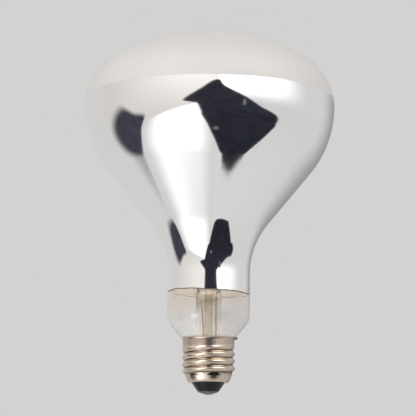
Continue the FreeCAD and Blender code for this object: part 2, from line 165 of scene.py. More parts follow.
class HeatLampCap(bpy.types.PropertyGroup):
    """Sizes of the screw cap."""

    sheet: FloatProperty(
        name="Sheet", description="Thickness of the rolled shell", default=0.25 * MM, unit="LENGTH")
    mouth_radius: FloatProperty(
        name="Mouth radius", description="Hole in the shell's floor", default=8.2 * MM, unit="LENGTH")
    floor_width: FloatProperty(
        name="Floor width", description="Flat ring round the hole", default=1.3 * MM, unit="LENGTH")
    floor_height: FloatProperty(
        name="Floor height", description="Shell's floor above the contact's end",
        default=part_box("cap_shell")[0].z, unit="LENGTH")
    foot_radius: FloatProperty(
        name="Foot radius", description="Where the thread begins", default=11.3 * MM, unit="LENGTH")
    foot_height: FloatProperty(
        name="Foot height", description="Cone below the thread", default=3.1 * MM, unit="LENGTH")
    cone_fullness: FloatProperty(
        name="Cone fullness", description="1 is a straight cone", default=0.55, subtype="FACTOR")
    pitch: FloatProperty(
        name="Thread pitch", description="Seven turns to the inch", default=3.629 * MM, unit="LENGTH")
    major_radius: FloatProperty(
        name="Crest radius", description="Thread crests", default=13.1 * MM, unit="LENGTH")
    minor_radius: FloatProperty(
        name="Root radius", description="Thread roots", default=12.05 * MM, unit="LENGTH")
    thread_length: FloatProperty(
        name="Thread length", description="From the cone to the skirt", default=14.4 * MM, unit="LENGTH")
    run_in: FloatProperty(
        name="Run in", description="Length over which the thread begins", default=2.9 * MM, unit="LENGTH")
    run_out: FloatProperty(
        name="Run out", description="Length over which the thread ends", default=1.2 * MM, unit="LENGTH")
    crest_height: FloatProperty(
        name="Crest height", description="A crest on the right-hand side", default=2.08 * MM, unit="LENGTH")
    skirt_radius: FloatProperty(
        name="Skirt radius", description="Plain part above the thread", default=12.75 * MM, unit="LENGTH")
    skirt_length: FloatProperty(
        name="Skirt length", description="Plain part above the thread", default=3.5 * MM, unit="LENGTH")
    rim_radius: FloatProperty(
        name="Rim radius", description="Flared edge", default=13.45 * MM, unit="LENGTH")
    rim_height: FloatProperty(
        name="Rim height", description="Flared edge", default=1.0 * MM, unit="LENGTH")
    rim_flare: FloatProperty(
        name="Rim flare", description="1 is a straight flare", default=1.5, subtype="FACTOR")
    contact_radius: FloatProperty(
        name="Contact radius", description="Brass disc", default=4.9 * MM, unit="LENGTH")
    contact_sheet: FloatProperty(
        name="Contact sheet", description="Thickness of the brass disc", default=0.4 * MM, unit="LENGTH")
    contact_depth: FloatProperty(
        name="Contact depth", description="Contact below the black glass",
        default=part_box("cap_insulator")[0].z, unit="LENGTH")
    eyelet_radius: FloatProperty(
        name="Eyelet radius", description="Tube of the contact", default=1.3 * MM, unit="LENGTH")
    eyelet_length: FloatProperty(
        name="Eyelet length", description="Tube of the contact", default=3.0 * MM, unit="LENGTH")
    solder_radius: FloatProperty(
        name="Solder radius", description="Dot on the contact", default=2.3 * MM, unit="LENGTH")
    solder_rise: FloatProperty(
        name="Solder rise", description="Dot below the contact's face", default=0.6 * MM, unit="LENGTH")
    insulator_foot: FloatProperty(
        name="Insulator foot", description="Radius at the contact", default=5.3 * MM, unit="LENGTH")
    insulator_plug: FloatProperty(
        name="Insulator plug", description="Part inside the shell", default=3.0 * MM, unit="LENGTH")
    insulator_flare: FloatProperty(
        name="Insulator flare", description="Slope of the plug's edges", default=1.3 * MM, unit="LENGTH")
    segments: IntProperty(
        name="Segments", description="Faces round the cap", default=240, min=24)


class HeatLampFinish(bpy.types.PropertyGroup):
    """Colours of the lamp."""

    frosted: FloatVectorProperty(
        name="Frosted glass", description="Dome etched inside", size=4, subtype="COLOR",
        default=srgb("#F1EDEA"))
    mirror: FloatVectorProperty(
        name="Mirror", description="Aluminium film behind the glass", size=4, subtype="COLOR",
        default=srgb("#FCFBFA"))
    lining: FloatVectorProperty(
        name="Lining", description="Aluminium film seen from inside", size=4, subtype="COLOR",
        default=srgb("#F0ECE7"))
    clear: FloatVectorProperty(
        name="Clear glass", description="Neck below the mirror", size=4, subtype="COLOR",
        default=srgb("#FEFDFC"))
    vapour: FloatVectorProperty(
        name="Film vapour", description="Trace of film below the mirror", size=4, subtype="COLOR",
        default=srgb("#FBF1E6"))
    # Painted shade: the neck glass is greyed towards its right-hand side, where less light falls.
    right_shade: FloatVectorProperty(
        name="Shaded glass", description="Neck glass on the right", size=4, subtype="COLOR",
        default=srgb("#F6F3F1"))
    film_edge: FloatVectorProperty(
        name="Film edge", description="Thin brown edge of the mirror film", size=4, subtype="COLOR",
        default=srgb("#8A7C6E"))
    stem: FloatVectorProperty(
        name="Stem glass", description="Lead glass of the stem", size=4, subtype="COLOR",
        default=srgb("#FFFBF4"))
    stem_vapour: FloatVectorProperty(
        name="Stem vapour", description="Film vapour on the stem", size=4, subtype="COLOR",
        default=srgb("#FFFAF1"))
    nickel: FloatVectorProperty(
        name="Nickel plate", description="Warm nickel on the brass shell", size=4, subtype="COLOR",
        default=srgb("#DCCBBA"))
    black_glass: FloatVectorProperty(
        name="Black glass", description="Insulator of the cap", size=4, subtype="COLOR",
        default=srgb("#0E0D0E"))


class HeatLampStage(bpy.types.PropertyGroup):
    """Camera, background and light."""

    distance: FloatProperty(
        name="Camera distance", description="In front of the axis", default=0.96725, unit="LENGTH")
    height: FloatProperty(
        name="Camera height", description="Below the contact's end", default=-0.0612, unit="LENGTH")
    aim: FloatProperty(
        name="Aim height", description="Point of the axis in the middle of the picture",
        default=0.09297, unit="LENGTH")
    sideways: FloatProperty(
        name="Sideways", description="Camera to the left of the axis", default=-0.00052, unit="LENGTH")
    roll: FloatProperty(
        name="Roll", description="Camera turned about its line of sight",
        default=math.radians(0.3), subtype="ANGLE")
    lens: FloatProperty(
        name="Lens", description="Focal length for a 36 mm sensor", default=170.3, unit="CAMERA")
    backdrop: FloatVectorProperty(
        name="Backdrop", description="Plain grey all round", size=4, subtype="COLOR",
        default=srgb("#D2D2D2"))
    floor: FloatVectorProperty(
        name="Floor", description="Paint of the floor", size=4, subtype="COLOR", default=srgb("#FEFEFE"))
    floor_depth: FloatProperty(
        name="Floor depth", description="Floor below the lamp", default=1.4, unit="LENGTH")
    fill_height: FloatProperty(
        name="Fill height", description="Soft light inside the bulb", default=0.125, unit="LENGTH")
    fill_power: FloatProperty(
        name="Fill power", description="Daylight gathered inside the bulb", default=0.13, unit="POWER")
    near_flag_distance: FloatProperty(
        name="Near flag distance", description="Low flag before the lamp", default=0.3, unit="LENGTH")
    card_distance: FloatProperty(
        name="Card distance", description="Flags and soft boxes from the lamp", default=1.0, unit="LENGTH")


# Nodes and meshes

def add_node(tree, kind, values=None, links=None, **settings):
    """Adds one node to a material with its settings, its socket values and the links into it."""
    made = tree.nodes.new(kind)
    for name, value in settings.items():
        setattr(made, name, value)
    for socket, value in (values or {}).items():
        made.inputs[socket].default_value = value
    for socket, source in (links or {}).items():
        tree.links.new(source, made.inputs[socket])
    return made


def start_material(name, values):
    """A new material with the given values on its shader's sockets."""
    made = bpy.data.materials.new(name)
    made.use_nodes = True
    surface = made.node_tree.nodes["Principled BSDF"]
    for socket, value in values.items():
        surface.inputs[socket].default_value = value
    return made, made.node_tree, surface


def add_grain(tree, surface, size, colours, roughness, relief, stretch=(1, 1, 1)):
    """Patches of a real size that change colour, roughness and height together.
    It gives back their colour and roughness, for a finish that lies over them."""
    place = add_node(tree, "ShaderNodeTexCoord")
    scaled = add_node(
        tree, "ShaderNodeMapping", values={"Scale": [1 / (size * share) for share in stretch]},
        links={"Vector": place.outputs["Object"]})
    patches = add_node(
        tree, "ShaderNodeTexNoise", values={"Scale": 1.0, "Detail": 3.0, "Roughness": 0.55},
        links={"Vector": scaled.outputs["Vector"]})
    spread = add_node(
        tree, "ShaderNodeMapRange", values={"From Min": 0.3, "From Max": 0.7},
        links={"Value": patches.outputs["Fac"]})
    colour = add_node(
        tree, "ShaderNodeMix", data_type="RGBA", values={6: colours[0], 7: colours[1]},
        links={0: spread.outputs["Result"]})
    rough = add_node(
        tree, "ShaderNodeMapRange", values={"To Min": roughness[0], "To Max": roughness[1]},
        links={"Value": spread.outputs["Result"]})
    bump = add_node(
        tree, "ShaderNodeBump", values={"Strength": 1.0, "Distance": relief},
        links={"Height": patches.outputs["Fac"]})
    tree.links.new(colour.outputs[2], surface.inputs["Base Color"])
    tree.links.new(rough.outputs["Result"], surface.inputs["Roughness"])
    tree.links.new(bump.outputs["Normal"], surface.inputs["Normal"])
    return colour.outputs[2], rough.outputs["Result"]


def darker(colour, share):
    """A colour with its light scaled."""
    return (*[part * share for part in colour[:3]], colour[3])


def ring_mesh(name, rings, materials, finishes=None, joined=False):
    """A smooth mesh through rings of points, all in the first material or with a finish for each band
    between two rings. A ring of one point closes an end."""
    finishes = finishes or [0] * len(rings)
    points = [place for ring in rings for place in ring]
    starts = [0]
    for ring in rings:
        starts.append(starts[-1] + len(ring))
    pairs = list(zip(range(len(rings)), range(1, len(rings))))
    if joined:
        pairs.append((len(rings) - 1, 0))
    faces = []
    kinds = []
    for (upper, lower), finish in zip(pairs, finishes):
        count = max(len(rings[upper]), len(rings[lower]))
        for index in range(count):
            after = (index + 1) % count
            corners = []
            for ring, step in ((upper, index), (lower, index), (lower, after), (upper, after)):
                corner = starts[ring] + (step if len(rings[ring]) > 1 else 0)
                if corner not in corners:
                    corners.append(corner)
            faces.append(corners)
            kinds.append(finish)
    mesh = bpy.data.meshes.new(name)
    mesh.from_pydata(points, [], faces)
    for material in materials:
        mesh.materials.append(material)
    mesh.polygons.foreach_set("material_index", kinds)
    mesh.shade_smooth()
    mesh.set_sharp_from_angle(angle=math.radians(40))
    mesh.update()
    piece = bpy.data.objects.new(name, mesh)
    bpy.context.scene.collection.objects.link(piece)
    return piece


def turns(count):
    """The angles of equal steps round a circle."""
    return [2 * math.pi * index / count for index in range(count)]


def turned(section, segments, lift=None):
    """Rings of a section of (radius, height) points turned about the axis.
    lift gives a ring's extra height at an angle."""
    rings = []
    for radius, height in section:
        if radius < 1e-7:
            rings.append([(0.0, 0.0, height)])
            continue
        ring = []
        for turn in turns(segments):
            rise = lift(height, turn) if lift else 0.0
            ring.append((radius * math.cos(turn), radius * math.sin(turn), height + rise))
        rings.append(ring)
    return rings


def arc(radius, height, size, start, end, steps):
    """Points of an arc of a section, its angles in radians from outward to upward."""
    angles = [start + (end - start) * step / steps for step in range(steps + 1)]
    return [(radius + size * math.cos(angle), height + size * math.sin(angle)) for angle in angles]


def run(start, end, steps):
    """Points of a straight run of a section."""
    shares = [step / steps for step in range(steps + 1)]
    return [tuple(a + (b - a) * share for a, b in zip(start, end)) for share in shares]


def smooth_step(share):
    """A blend from 0 to 1 with level ends."""
    share = min(max(share, 0.0), 1.0)
    return share * share * (3 - 2 * share)


def joined_section(*parts):
    """One section of several parts, without the repeated points at their joins."""
    section = []
    for part in parts:
        for place in part:
            if not section or math.dist(section[-1], place) > 1e-7:
                section.append(place)
    return section


def rounded(corners, size, steps=5):
    """A closed section with its corners rounded to a size."""
    section = []
    for index, corner in enumerate(corners):
        before = Vector(corners[index - 1]) - Vector(corner)
        after = Vector(corners[(index + 1) % len(corners)]) - Vector(corner)
        half = before.angle(after) / 2
        reach = min(size / math.tan(half), before.length * 0.45, after.length * 0.45)
        first = Vector(corner) + before.normalized() * reach
        last = Vector(corner) + after.normalized() * reach
        for step in range(steps + 1):
            share = step / steps
            low = first.lerp(Vector(corner), share)
            high = Vector(corner).lerp(last, share)
            section.append(tuple(low.lerp(high, share)))
    return section


def dress(piece, slot, *nodes):
    """Puts a piece on the lamp's body in place of the nodes that it stands for."""
    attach(piece, "root")
    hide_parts(*nodes)


def paint(material, *nodes):
    """Gives a finish to nodes whose shape stays."""
    for name in nodes:
        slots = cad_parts[name].data.materials
        slots.clear()
        slots.append(material)


# Glass and mirror finishes

def frosted_glass(colour):
    """Soda-lime glass etched inside with acid: an even satin white that lets light in but shows nothing."""
    made, tree, surface = start_material("frosted_soda_glass", {
        "Transmission Weight": 0.2, "IOR": 1.52, "Specular IOR Level": 0.2})
    add_grain(tree, surface, 9 * MM, (darker(colour, 0.98), colour), (0.46, 0.54), 0.004 * MM)
    return made


def silvered_glass(colour):
    """Blown glass with an aluminium film behind it: a clear mirror, a little wavy, with a faint haze."""
    made, tree, surface = start_material("silvered_glass", {
        "Metallic": 1.0, "Coat Weight": 0.4, "Coat Roughness": 0.02, "Coat IOR": 1.52})
    add_grain(tree, surface, 30 * MM, (darker(colour, 0.985), colour), (0.045, 0.075), 0.05 * MM)
    return made


def add_vapour(tree, film_height, most):
    """How thick the trace of brown film vapour lies: most at the mirror's edge, fading out in clouds
    below it and further down on the left."""
    cloud_size, cloud_drift, fade, slope = 9 * MM, 7 * MM, 11 * MM, 0.3
    place = add_node(tree, "ShaderNodeTexCoord")
    part = add_node(tree, "ShaderNodeSeparateXYZ", links={"Vector": place.outputs["Object"]})
    clouds = add_node(
        tree, "ShaderNodeTexNoise", values={"Scale": 1 / cloud_size, "Detail": 2.0},
        links={"Vector": place.outputs["Object"]})
    drift = add_node(
        tree, "ShaderNodeMath", operation="MULTIPLY_ADD", values={1: cloud_drift, 2: -cloud_drift / 2},
        links={0: clouds.outputs["Fac"]})
    lean = add_node(
        tree, "ShaderNodeMath", operation="MULTIPLY_ADD", values={1: -slope},
        links={0: part.outputs["X"], 2: part.outputs["Z"]})
    level = add_node(
        tree, "ShaderNodeMath", operation="ADD",
        links={0: lean.outputs["Value"], 1: drift.outputs["Value"]})
    vapour = add_node(
        tree, "ShaderNodeMapRange", interpolation_type="SMOOTHSTEP",
        values={"From Min": film_height - fade, "From Max": film_height, "To Max": most},
        links={"Value": level.outputs["Value"]})
    return vapour.outputs["Result"]


def clear_glass(colour, right_shade_colour, vapour_colour, film_height):
    """Clear blown glass, with painted shade greying it towards the right, and a trace of film vapour."""
    # Painted shade: the glass colour turns greyer from the first of these to the second, towards the right.
    shade_start, shade_full = -5 * MM, 8 * MM
    made, tree, surface = start_material("clear_soda_glass", {
        "Transmission Weight": 1.0, "IOR": 1.52, "Roughness": 0.0})
    place = add_node(tree, "ShaderNodeTexCoord")
    part = add_node(tree, "ShaderNodeSeparateXYZ", links={"Vector": place.outputs["Object"]})
    shaded_right = add_node(
        tree, "ShaderNodeMapRange", interpolation_type="SMOOTHSTEP",
        values={"From Min": shade_start, "From Max": shade_full}, links={"Value": part.outputs["X"]})
    glass = add_node(
        tree, "ShaderNodeMix", data_type="RGBA", values={6: colour, 7: right_shade_colour},
        links={0: shaded_right.outputs["Result"]})
    tint = add_node(
        tree, "ShaderNodeMix", data_type="RGBA", values={7: vapour_colour},
        links={0: add_vapour(tree, film_height, 0.6), 6: glass.outputs[2]})
    tree.links.new(tint.outputs[2], surface.inputs["Base Color"])
    return made


def film_edge(colour):
    """The last of the aluminium film, too thin to mirror: a brown-grey line with an uneven width."""
    made, tree, surface = start_material("thin_aluminium_film", {
        "Metallic": 0.6, "Coat Weight": 1.0, "Coat IOR": 1.52})
    add_grain(tree, surface, 1.5 * MM, (darker(colour, 0.6), colour), (0.3, 0.5), 0.01 * MM)
    return made


def mirror_film(colour):
    """The aluminium film seen from inside the bulb: bright and satin."""
    made, tree, surface = start_material("vacuum_aluminium_film", {"Metallic": 0.0})
    add_grain(tree, surface, 20 * MM, (darker(colour, 0.93), colour), (0.3, 0.4), 0.02 * MM)
    return made


def stem_glass(colour, vapour_colour, film_height):
    """Drawn lead glass with faint draw lines along the tube, browned and dulled by the film's vapour
    near the mirror."""
    most_vapour, vapour_dullness = 0.7, 0.55
    made, tree, surface = start_material("lead_stem_glass", {"Transmission Weight": 1.0, "IOR": 1.56})
    glass, polish = add_grain(
        tree, surface, 2 * MM, (darker(colour, 0.97), colour), (0.0, 0.03), 0.01 * MM, stretch=(1, 1, 12))
    vapour = add_vapour(tree, film_height, most_vapour)
    tint = add_node(
        tree, "ShaderNodeMix", data_type="RGBA", values={7: vapour_colour}, links={0: vapour, 6: glass})
    dulled = add_node(
        tree, "ShaderNodeMath", operation="MULTIPLY_ADD", values={1: vapour_dullness},
        links={0: vapour, 2: polish})
    tree.links.new(tint.outputs[2], surface.inputs["Base Color"])
    tree.links.new(dulled.outputs["Value"], surface.inputs["Roughness"])
    return made


# Bulb

def bulb_heights(glass):
    """Heights and radii of the bulb's outline, built up from the cap's rim."""
    heel, cone = glass.heel_angle, glass.cone_angle
    rim_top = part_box("cap_shell")[1].z
    at = SimpleNamespace()
    at.foot_radius = glass.throat_radius + glass.throat_fillet * (1 - math.cos(heel))
    at.head_radius = glass.neck_radius - glass.heel_radius * (1 - math.cos(heel))
    at.taper_foot = rim_top - (glass.seat_radius - at.foot_radius) / math.tan(heel)
    at.throat_top = at.taper_foot - glass.throat_fillet * math.sin(heel)
    at.seal = at.throat_top - glass.throat_length
    at.taper_head = at.taper_foot + (at.head_radius - at.foot_radius) / math.tan(heel)
    at.neck_bottom = at.taper_head + glass.heel_radius * math.sin(heel)
    at.neck_top = at.neck_bottom + glass.neck_length
    at.cone_foot_radius = glass.neck_radius + glass.flare_radius * (1 - math.cos(cone))
    at.cone_head_radius = glass.bulb_radius - glass.belly_radius * (1 - math.cos(cone))
    at.cone_foot = at.neck_top + glass.flare_radius * math.sin(cone)
    at.cone_head = at.cone_foot + (at.cone_head_radius - at.cone_foot_radius) / math.tan(cone)
    at.widest = at.cone_head + glass.belly_radius * math.sin(cone)
    at.shoulder_reach = glass.bulb_radius - glass.shoulder_radius
    crown_reach = glass.crown_radius - glass.shoulder_radius
    at.crown_centre = at.widest - math.sqrt(crown_reach ** 2 - at.shoulder_reach ** 2)
    at.crown_angle = math.atan2(at.widest - at.crown_centre, at.shoulder_reach)
    at.mirror_angle = math.asin(glass.mirror_top / glass.shoulder_radius)
    at.mirror_top = at.widest + glass.mirror_top
    at.mirror_foot = at.neck_top - glass.mirror_foot
    return at


def dome_section(glass, at, inset, detail):
    """The frosted dome's section from the crown to the mirror's upper edge."""
    return joined_section(
        arc(0, at.crown_centre, glass.crown_radius - inset, math.pi / 2, at.crown_angle, 9 * detail),
        arc(at.shoulder_reach, at.widest, glass.shoulder_radius - inset,
            at.crown_angle, at.mirror_angle, 8 * detail),
    )


def mirror_section(glass, at, inset, detail, foot):
    """The mirrored part's section from its upper edge to its lower edge on the neck."""
    neck = glass.neck_radius - inset
    return joined_section(
        arc(at.shoulder_reach, at.widest, glass.shoulder_radius - inset, at.mirror_angle, 0, detail),
        arc(glass.bulb_radius - glass.belly_radius, at.widest, glass.belly_radius - inset,
            0, -glass.cone_angle, 12 * detail),
        arc(glass.neck_radius + glass.flare_radius, at.neck_top, glass.flare_radius + inset,
            math.pi - glass.cone_angle, math.pi, 9 * detail),
        run((neck, at.neck_top), (neck, foot), 2 * detail),
    )


def clear_section(glass, at, inset, detail):
    """The clear part's section from the mirror's lower edge to the throat's end inside the cap."""
    neck = glass.neck_radius - inset
    throat = glass.throat_radius - inset
    return joined_section(
        run((neck, at.mirror_foot + glass.film_edge), (neck, at.mirror_foot), 1),
        run((neck, at.mirror_foot), (neck, at.neck_bottom), 2 * detail),
        arc(glass.neck_radius - glass.heel_radius, at.neck_bottom, glass.heel_radius - inset,
            0, -glass.heel_angle, 3 * detail),
        arc(glass.throat_radius + glass.throat_fillet, at.throat_top, glass.throat_fillet + inset,
            math.pi - glass.heel_angle, math.pi, 2 * detail),
        run((throat, at.throat_top), (throat, at.seal), 2),
    )


def film_wave(glass, at):
    """How far the mirror's lower edge rises or drops at an angle, fading out along the neck."""
    waves = ((2.1, 1.0), (6.3, 0.55), (17.0, 0.25))

    def lift(height, turn):
        if not at.neck_bottom < height < at.neck_top:
            return 0.0
        end = at.neck_top if height > at.mirror_foot else at.neck_bottom
        share = (height - end) / (at.mirror_foot - end)
        tilt = -math.tan(glass.mirror_tilt) * glass.neck_radius * math.cos(turn)
        place = Vector((math.cos(turn), math.sin(turn), 0.37))
        wave = sum(weight * noise.noise(place * fineness) for fineness, weight in waves)
        return min(share, 1.0) * (tilt + glass.mirror_ripple * wave)
    return lift


def build_envelope(glass, at, finishes):
    """The glass bulb with its outer and inner skins: frosted, mirrored, thin film and clear."""
    frosted, mirrored, edge, clear = range(4)
    section = []
    kinds = []
    film_foot = at.mirror_foot + glass.film_edge
    for inset, detail, upward in ((0.0, 4, False), (glass.wall, 2, True)):
        parts = [
            (dome_section(glass, at, inset, detail), lambda index: frosted),
            (mirror_section(glass, at, inset, detail, film_foot), lambda index: mirrored),
            (clear_section(glass, at, inset, detail), lambda index: edge if index == 0 else clear),
        ]
        skin = []
        bands = []
        for part, kind in parts:
            skin += part if not skin else part[1:]
            bands += [kind(index) for index in range(len(part) - 1)]
        section += skin[::-1] if upward else skin
        kinds += ([clear] + bands[::-1]) if upward else bands
    rings = turned(section, glass.segments, film_wave(glass, at))
    return ring_mesh("glass_bulb", rings, finishes, kinds)


def build_lining(glass, at, finish):
    """The aluminium film inside the mirrored part of the glass."""
    inset, detail = glass.wall + CLEARANCE, 2
    outer = mirror_section(glass, at, inset, detail, at.mirror_foot)
    inner = mirror_section(glass, at, inset + glass.film_thickness, detail, at.mirror_foot)
    rings = turned(outer + inner[::-1], glass.segments // 2, film_wave(glass, at))
    return ring_mesh("mirror_lining", rings, [finish], joined=True)


class HEATLAMP_OT_bulb(bpy.types.Operator):
    """Build the glass bulb and its mirror lining"""

    bl_idname = "heatlamp.bulb"
    bl_label = "Glass bulb and mirror"

    def execute(self, context):
        glass = context.scene.heatlamp_glass
        colours = context.scene.heatlamp_finish
        at = bulb_heights(glass)
        bulb = build_envelope(glass, at, [
            frosted_glass(colours.frosted),
            silvered_glass(colours.mirror),
            film_edge(colours.film_edge),
            clear_glass(colours.clear, colours.right_shade, colours.vapour, at.mirror_foot),
        ])
        dress(bulb, "bulb_glass", "glass_envelope")
        lining = build_lining(glass, at, mirror_film(colours.lining))
        dress(lining, "mirror_coating", "reflector_coating")
        return {"FINISHED"}


# Stem and exhaust tube

def flat_ring(stem, height, share, segments):
    """A ring of the stem between its round tube, at share 0, and its flat press, at share 1."""
    blend = smooth_step(share)
    width = stem.radius + (stem.press_width / 2 - stem.radius) * blend
    depth = stem.radius + (stem.press_thickness / 2 - stem.radius) * blend
    power = 1 - 0.4 * blend
    ring = []
    for turn in turns(segments):
        across, along = math.cos(turn), math.sin(turn)
        x = math.copysign(abs(across) ** power, across) * width
        y = math.copysign(abs(along) ** power, along) * depth
        ring.append((x, y, height))
    return ring


def build_stem(stem, glass, at, finish):
    """The flare sealed to the throat, the tube, and the press pinched flat round the leads."""
    segments = 96
    press_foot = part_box("contact_seal_wire")[0].z
    press_neck = press_foot + stem.press_shoulder
    press_top = press_neck + stem.press_height
    bore = stem.radius - stem.wall
    lip = glass.throat_radius - glass.wall
    bell = lip - stem.radius
    rings = [[(0.0, 0.0, press_top)]]
    top_ring = flat_ring(stem, press_top, 1, segments)
    for width in (0.5, 0.9, 0.97):
        rings.append([(x * width, y * width, z) for x, y, z in top_ring])
    top_round = 0.3 * MM
    for drop in (top_round, stem.press_height / 2, stem.press_height):
        rings.append(flat_ring(stem, press_top - drop, 1, segments))
    for step in range(1, 9):
        share = 1 - step / 8
        rings.append(flat_ring(stem, press_foot + stem.press_shoulder * share, share, segments))
    tube = joined_section(
        run((stem.radius, press_foot), (stem.radius, at.seal + bell), 12)[1:],
        arc(lip, at.seal + bell, bell, math.pi, 1.5 * math.pi, 12),
        [(glass.throat_radius, at.seal), (glass.throat_radius, at.seal - stem.wall)],
        arc(lip, at.seal + bell, bell + stem.wall, 1.5 * math.pi, math.pi, 12),
        run((bore, at.seal + bell), (bore, press_foot - 2 * MM), 12),
        [(bore * 0.92, press_foot - 1.1 * MM), (bore * 0.6, press_foot - 0.4 * MM), (0.0, press_foot)],
    )
    rings += turned(tube, segments)
    return ring_mesh("stem_flare", rings, [finish])


def build_exhaust(stem, finish):
    """The exhaust tube with its closed round tip inside the cap."""
    low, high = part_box("exhaust_tube")
    tip = low.z + stem.exhaust_radius
    bore = stem.exhaust_radius - stem.exhaust_wall
    top = high.z - 0.05 * MM
    section = joined_section(
        arc(0, tip, bore, -math.pi / 2, 0, 6),
        run((bore, tip), (bore, top), 8),
        run((stem.exhaust_radius, top), (stem.exhaust_radius, tip), 8),
        arc(0, tip, stem.exhaust_radius, 0, -math.pi / 2, 8),
    )
    rings = turned(section, 64)
    return ring_mesh("exhaust_tubing", rings, [finish])


class HEATLAMP_OT_stem(bpy.types.Operator):
    """Build the glass stem and the exhaust tube, and finish the glass rod"""

    bl_idname = "heatlamp.stem"
    bl_label = "Stem and exhaust tube"

    def execute(self, context):
        glass = context.scene.heatlamp_glass
        stem = context.scene.heatlamp_stem
        colours = context.scene.heatlamp_finish
        at = bulb_heights(glass)
        finish = stem_glass(colours.stem, colours.stem_vapour, at.mirror_foot)
        flare = build_stem(stem, glass, at, finish)
        dress(flare, "stem_glass", "stem_tube")
        tube = build_exhaust(stem, finish)
        dress(tube, "stem_glass", "exhaust_tube")
        paint(finish, "support_rod")
        return {"FINISHED"}


# Wires and filament

def wire_metal(name, code, roughness):
    """Drawn wire: a plain metal with fine draw marks and a thin uneven oxide."""
    made, tree, surface = start_material(name, {"Metallic": 1.0})
    colour = srgb(code)
    add_grain(tree, surface, 0.8 * MM, (darker(colour, 0.75), colour), roughness, 0.01 * MM)
    return made


def build_coil(stem, finish):
    """The tungsten coil, wound round a ring with a gap between its leads."""
    height = (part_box("filament")[0].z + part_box("filament")[1].z) / 2
    sweep = 2 * math.pi - stem.ring_gap
    start = math.pi / 2 + stem.ring_gap / 2
    windings = round(sweep * stem.ring_radius / stem.coil_pitch)
    steps = windings * 10
    winding = stem.coil_radius - stem.coil_wire
    centres = []
    for step in range(steps + 1):
        turn = start + sweep * step / steps
        coil = 2 * math.pi * windings * step / steps
        reach = stem.ring_radius + winding * math.cos(coil)
        centres.append(Vector((
            reach * math.cos(turn), reach * math.sin(turn), height + winding * math.sin(coil))))
    rings = [[tuple(centres[0])]]
    for before, centre, after in zip(centres, centres[1:], centres[2:]):
        way = (after - before).normalized()
        side = way.cross(Vector((0, 0, 1))).normalized()
        top = side.cross(way)
        ring = []
        for turn in turns(6):
            ring.append(tuple(centre + (side * math.cos(turn) + top * math.sin(turn)) * stem.coil_wire))
        rings.append(ring)
    rings.append([tuple(centres[-1])])
    return ring_mesh("tungsten_coil", rings, [finish])


class HEATLAMP_OT_filament(bpy.types.Operator):
    """Wind the filament and finish its supports and inner leads"""

    bl_idname = "heatlamp.filament"
    bl_label = "Filament and supports"

    def execute(self, context):
        coil = build_coil(context.scene.heatlamp_stem, wire_metal("tungsten_wire", "#6A6765", (0.35, 0.5)))
        dress(coil, "tungsten", "filament")
        supports = [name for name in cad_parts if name.startswith("filament_support")]
        paint(wire_metal("molybdenum_wire", "#9C9A98", (0.25, 0.4)), *supports)
        paint(wire_metal("nickel_wire", "#B5AEA4", (0.2, 0.35)), "contact_inner_lead", "shell_inner_lead")
        return {"FINISHED"}


class HEATLAMP_OT_leads(bpy.types.Operator):
    """Finish the outer leads and the wires sealed in the press"""

    bl_idname = "heatlamp.leads"
    bl_label = "Lead wires"

    def execute(self, context):
        paint(wire_metal("oxidised_lead_wire", "#5B5048", (0.4, 0.6)), "contact_lead", "shell_lead")
        paint(wire_metal("copper_clad_wire", "#7A5A4C", (0.3, 0.45)), "contact_seal_wire", "shell_seal_wire")
        return {"FINISHED"}


# Cap

